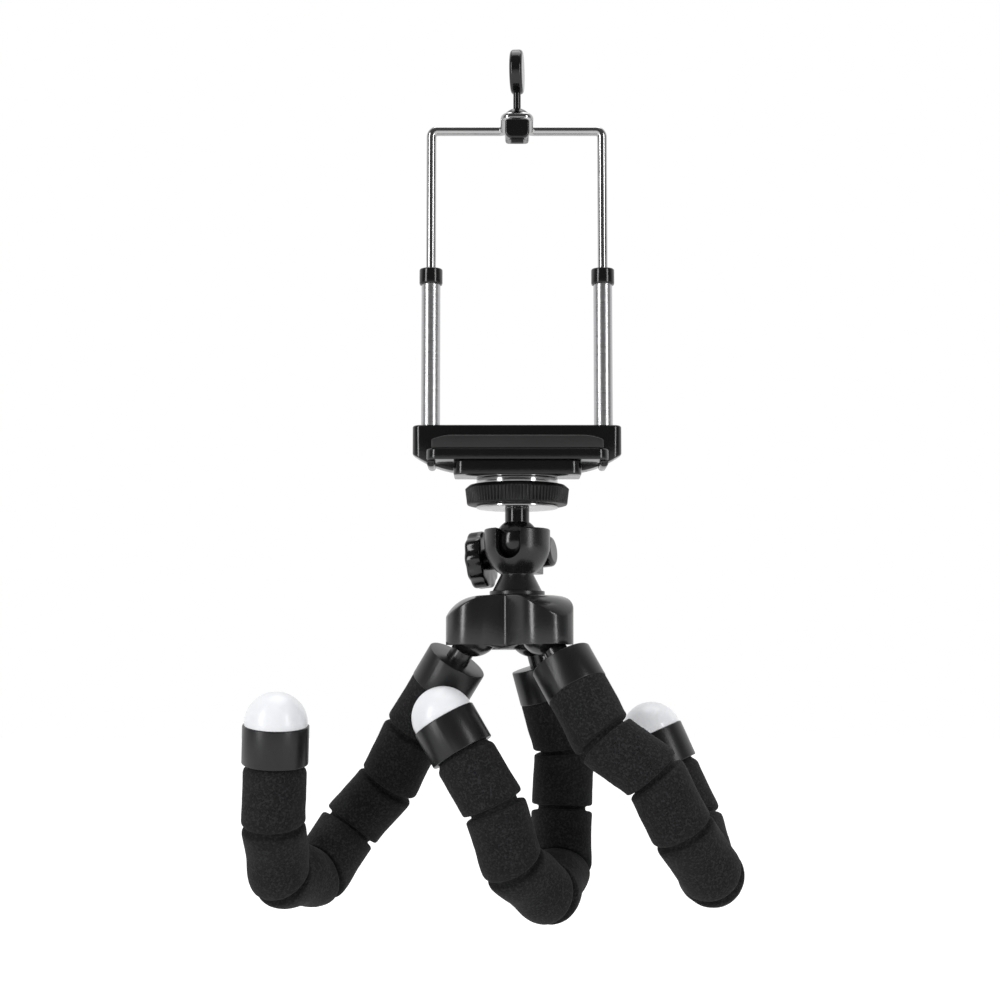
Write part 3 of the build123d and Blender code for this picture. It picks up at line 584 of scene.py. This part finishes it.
def dress_collars(leg):
    """The top collar with the neck's bore, and the foot collar with bores for the wire and the foot."""
    points, ways = leg_layout(leg)
    node = f"leg_{leg}_collar"
    low, high = span(node, points[0], ways[0])
    length = high - low
    outline = [(NECK_BORE, 0)]
    outline += lower_edge(COLLAR_RADIUS, 0, COLLAR_EDGE) + upper_edge(COLLAR_RADIUS, length, COLLAR_EDGE)
    outline += [(CORE_BORE, length), (CORE_BORE, NECK_BORE_DEPTH), (NECK_BORE, NECK_BORE_DEPTH)]
    collar_piece(node, f"leg_{leg}_1", points[0] + ways[0] * low, ways[0], outline, closed=True)

    node = f"leg_{leg}_foot_collar"
    low, high = span(node, points[-1], ways[-1])
    length = high - low
    outline = [(CORE_BORE, CORE_BORE_DEPTH), (CORE_BORE, 0)]
    outline += lower_edge(FOOT_COLLAR_RADIUS, 0, COLLAR_EDGE)
    outline += upper_edge(FOOT_COLLAR_RADIUS, length, COLLAR_EDGE)
    outline += [(PLUG_BORE, length), (PLUG_BORE, length - PLUG_BORE_DEPTH)]
    collar_piece(node, f"leg_{leg}_7", points[-1] + ways[-1] * low, ways[-1], outline, closed=False)


# Knob
KNOB_RIM = 7.42 * MM
KNOB_LOWER_EDGE = 0.75 * MM
KNOB_UPPER_EDGE = 0.95 * MM
KNOB_LOBES = 10
KNOB_STEPS_PER_LOBE = 20
KNOB_LOBE_DEPTH = 0.45 * MM
KNOB_LOBES_FROM = 5 * MM
KNOB_LOBES_FADE = 1.4 * MM
KNOB_BORE = 1.56 * MM
KNOB_BORE_DEPTH = 7.86 * MM
KNOB_BOSS = 2.8 * MM
KNOB_BOSS_LENGTH = 5.6 * MM
KNOB_BOSS_BEVEL = 0.2 * MM
KNOB_DISH = 4.6 * MM
KNOB_DISH_FLOOR = 4.2 * MM
KNOB_DISH_DEPTH = 0.3 * MM
KNOB_MIDDLE = 1.6 * MM


def lobed(angle, radius, _):
    """The shallow valleys between the knob's lobes."""
    reach = clamped((radius - KNOB_LOBES_FROM) / KNOB_LOBES_FADE)
    return -KNOB_LOBE_DEPTH * reach * (0.5 - 0.5 * cos(KNOB_LOBES * angle))


def dress_knob():
    """The clamp knob: ten broad, shallow lobes round a rim with soft edges, on a plain boss."""
    axis = Vector(joints["clamp_turn"]["axis"])
    point = Vector(joints["clamp_turn"]["pos_m"])
    low, high = span("clamp_knob", point, axis)
    end = high - low
    side = Vector((0, 0, 1)).cross(axis).normalized()
    turn = Matrix((side, axis.cross(side), axis)).transposed().to_4x4()
    outline = [
        (KNOB_BORE, KNOB_BORE_DEPTH), (KNOB_BORE, 0), (KNOB_BOSS - KNOB_BOSS_BEVEL, 0),
        (KNOB_BOSS, KNOB_BOSS_BEVEL), (KNOB_BOSS, KNOB_BOSS_LENGTH),
    ]
    outline += lower_edge(KNOB_RIM, KNOB_BOSS_LENGTH, KNOB_LOWER_EDGE)
    outline += upper_edge(KNOB_RIM, end, KNOB_UPPER_EDGE)
    floor = end - KNOB_DISH_DEPTH
    outline += [(KNOB_DISH, end), (KNOB_DISH_FLOOR, floor), (KNOB_MIDDLE, floor)]
    place = Matrix.Translation(point + axis * low) @ turn
    rings = revolved(place, outline, KNOB_LOBES * KNOB_STEPS_PER_LOBE, lobed)
    piece = ring_piece("lobed_knob", rings, "clip_plastic", "clamp", crease=42)
    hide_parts("clamp_knob")


# Bow
WIRE_RADIUS = 1.25 * MM
WIRE_SEGMENTS = 40
BOW_CORNER = 1.6 * MM
BOW_CORNER_STEPS = 12
BOW_HALF_WIDTH = 21.9 * MM
BOW_BACK = 3.3 * MM
LOOP_HALF_WIDTH = 2.9 * MM
LOOP_FRONT = 7.5 * MM
LOOP_RISE = 0.5 * MM


def rounded_path(corners, radius):
    """Centre line through the corners, with an arc of this radius at each inner one."""
    path = [corners[0]]
    for before, corner, after in zip(corners, corners[1:], corners[2:]):
        arriving = (corner - before).normalized()
        leaving = (after - corner).normalized()
        angle = arriving.angle(leaving)
        start = corner - arriving * (radius * tan(angle / 2))
        middle = start + (leaving - arriving * arriving.dot(leaving)).normalized() * radius
        axis = arriving.cross(leaving).normalized()
        for part in range(BOW_CORNER_STEPS + 1):
            turn = Matrix.Rotation(angle * part / BOW_CORNER_STEPS, 3, axis)
            path.append(middle + turn @ (start - middle))
    return path + [corners[-1]]


def dress_bow():
    """The bow bent from one round wire."""
    low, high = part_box("bow_wire")
    loop = high.z - WIRE_RADIUS
    left = [
        Vector((-BOW_HALF_WIDTH, BOW_BACK, low.z)),
        Vector((-BOW_HALF_WIDTH, BOW_BACK, loop - LOOP_RISE)),
        Vector((-LOOP_HALF_WIDTH, BOW_BACK, loop - LOOP_RISE)),
        Vector((-LOOP_HALF_WIDTH, -LOOP_FRONT, loop)),
    ]
    right = [Vector((-corner.x, corner.y, corner.z)) for corner in reversed(left)]
    path = rounded_path(left + right, BOW_CORNER)
    side = Vector((1, 0, 0))
    rings = []
    for index, place in enumerate(path):
        way = (path[min(index + 1, len(path) - 1)] - path[max(index - 1, 0)]).normalized()
        side = (side - way * side.dot(way)).normalized()
        across = way.cross(side)
        rings.append([
            place + (side * cos(angle) + across * sin(angle)) * WIRE_RADIUS
            for angle in turns(WIRE_SEGMENTS)
        ])
    piece = ring_piece("bent_bow_wire", rings, "chrome", "bow", crease=50)
    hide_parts("bow_wire")


# Springs
SPRING_TURNS = 23
SPRING_STEPS = 26
SPRING_RADIUS = 1.58 * MM
SPRING_WIRE = 0.22 * MM
SPRING_WIRE_SEGMENTS = 10


def dress_springs():
    """A coil round each leg of the bow, held by the tube's cap above and by the bow's stop below."""
    low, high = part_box("bow_springs")
    middle = (low.y + high.y) / 2
    length = high.z - low.z - 2 * SPRING_WIRE
    upward = Vector((0, 0, 1))
    steps = SPRING_TURNS * SPRING_STEPS
    for side, name in ((-1, "left_spring"), (1, "right_spring")):
        centre = Vector((side * BOW_HALF_WIDTH, middle, low.z + SPRING_WIRE))
        rings = []
        for step in range(steps + 1):
            turn = 2 * pi * step / SPRING_STEPS
            outward = Vector((cos(turn), sin(turn), 0))
            place = centre + upward * (length * step / steps) + outward * SPRING_RADIUS
            rings.append([
                place + (outward * sin(angle) + upward * cos(angle)) * SPRING_WIRE
                for angle in turns(SPRING_WIRE_SEGMENTS)
            ])
        piece = ring_piece(name, rings, "steel", crease=60)
        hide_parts("bow_springs")
        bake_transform(piece)


# Lock ring
RING_BORE = 3.24 * MM
RING_FOOT_INSET = 0.45 * MM
RIBS = 90
STEPS_PER_RIB = 6
RIB_DEPTH = 0.26 * MM
RIBS_FROM = 0.3 * MM
RIBS_FADE_IN = 0.3 * MM
RIBS_END_BELOW_TOP = 0.85 * MM
RIBS_FADE_OUT = 0.25 * MM

# In mm: outward from the foot and up from the bottom, then outward from the rim and down from the top
RING_FOOT = [(-0.6, 0.0), (-0.2, 0.12), (0.0, 0.45), (0.03, 0.8)]
RING_RIM = [(-0.06, 1.35), (0.0, 1.1), (-0.12, 0.92), (-0.75, 0.35), (-1.1, 0.08), (-1.4, 0.0)]


def dress_lock_ring():
    """The ribbed ring: fine upright ribs between a small foot edge and a top bevel."""
    low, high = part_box("lock_ring")
    radius = (high.x - low.x) / 2
    height = high.z - low.z
    foot = radius - RING_FOOT_INSET
    outline = [(RING_BORE, 0)]
    outline += [(foot + outward * MM, upward * MM) for outward, upward in RING_FOOT]
    outline += [(radius + outward * MM, height - downward * MM) for outward, downward in RING_RIM]
    outline += [(RING_BORE, height)]

    def ribbed(angle, _, at_height):
        along = clamped((at_height - RIBS_FROM) / RIBS_FADE_IN)
        along *= clamped((height - RIBS_END_BELOW_TOP - at_height) / RIBS_FADE_OUT)
        return -RIB_DEPTH * along * (0.5 + 0.5 * cos(RIBS * angle)) ** 2

    rings = revolved(Matrix.Translation((0, 0, low.z)), outline, RIBS * STEPS_PER_RIB, ribbed)
    piece = ring_piece("ribbed_lock_ring", rings, "ring_plastic", "ring", closed=True, crease=32)
    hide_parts("lock_ring")


# Stage
CAMERA_LENS = 69.6
CAMERA_SENSOR = 36.0
CAMERA_PLACE = (-4.3 * MM, -482.7 * MM, 36.0 * MM)
CAMERA_PITCH = 5.3
NEAREST_SEEN = 0.01
FURTHEST_SEEN = 100.0
FLOOR_HALF_SIZE = 4.0
FLOOR_LEVEL = -100 * MM
FLOOR_COLOUR = (0.8, 0.8, 0.8, 1.0)
FLOOR_GLOW = (0.78, 0.78, 0.78)
FLOOR_IN_GLOSS = 0.4
WORLD_PLAIN = 0.52
WORLD_GLOW = [(0.0, 0.09), (0.40, 0.13), (0.52, 0.40), (0.66, 0.95), (1.0, 1.0)]
LAMP_AIM = Vector((0, 0, 60 * MM))

# Name, place, size, power
LAMPS = [
    ("left_softbox", (-0.75, -0.62, 0.30), (0.20, 0.8), 4.3),
    ("right_softbox", (0.72, -0.70, 0.25), (0.17, 0.8), 3.4),
    ("top_softbox", (0.05, 0.15, 1.0), (0.7, 0.7), 3.2),
]


def make_camera():
    camera = bpy.data.cameras.new("camera")
    camera.lens = CAMERA_LENS
    camera.sensor_width = CAMERA_SENSOR
    camera.clip_start = NEAREST_SEEN
    camera.clip_end = FURTHEST_SEEN
    holder = add_object("camera", camera)
    holder.location = CAMERA_PLACE
    holder.rotation_euler = (radians(90 + CAMERA_PITCH), 0, 0)
    bpy.context.scene.camera = holder


def make_lamp(name, place, size, power):
    lamp = bpy.data.lights.new(name, "AREA")
    lamp.shape = "RECTANGLE"
    lamp.size, lamp.size_y = size
    lamp.energy = power
    holder = add_object(name, lamp)
    holder.location = place
    holder.rotation_euler = (LAMP_AIM - Vector(place)).to_track_quat("-Z", "Y").to_euler()


def make_floor():
    """A plain white floor that keeps the shadow, glowing to the eye and dimmer in reflections."""
    look = Look("floor", Roughness=0.9, Specular_IOR_Level=0.0, Emission_Strength=1.0)
    look.feed("Base Color", FLOOR_COLOUR)
    seen = look.ray("Camera") + look.ray("Glossy") * FLOOR_IN_GLOSS + look.ray("Transmission")
    seen = look.math("MINIMUM", seen, 1.0)
    look.feed("Emission Color", look.mix(seen, (0.0, 0.0, 0.0), FLOOR_GLOW))
    size, level = FLOOR_HALF_SIZE, FLOOR_LEVEL
    corners = [(-size, -size, level), (size, -size, level), (size, size, level), (-size, size, level)]
    mesh = bpy.data.meshes.new("floor")
    mesh.from_pydata(corners, [], [(0, 1, 2, 3)])
    mesh.materials.append(look.material)
    floor = add_object("floor", mesh)


class WorldLook(Look):
    """The world's node tree, white to the eye and a plain grey light on the object."""

    def __init__(self):
        world = bpy.data.worlds.new("studio")
        world.use_nodes = True
        bpy.context.scene.world = world
        self.tree = world.node_tree
        self.shader = self.tree.nodes["Background"]


def make_world():
    """White to the camera; in reflections white behind the object and dim in front of it."""
    look = WorldLook()
    way = look.node("ShaderNodeTexCoord", output="Generated")
    behind = look.node("ShaderNodeSeparateXYZ", inputs={"Vector": way}, output="Y")
    glow = look.ramp(behind * 0.5 + 0.5, WORLD_GLOW)
    level = WORLD_PLAIN + look.ray("Glossy") * (glow - WORLD_PLAIN)
    seen = look.math("MAXIMUM", look.ray("Camera"), look.ray("Transmission"))
    look.feed("Strength", level + seen * (1.0 - level))
    look.feed("Color", (1.0, 1.0, 1.0, 1.0))


def make_stage():
    make_camera()
    make_floor()
    make_world()
    for lamp in LAMPS:
        make_lamp(*lamp)
    bpy.context.scene.view_settings.view_transform = "Standard"


finish_nodes()
for eased in EASED:
    ease_edges(*eased)
for leg_name in LEGS:
    dress_leg(leg_name)
    dress_collars(leg_name)
dress_knob()
dress_bow()
dress_springs()
dress_lock_ring()
make_stage()
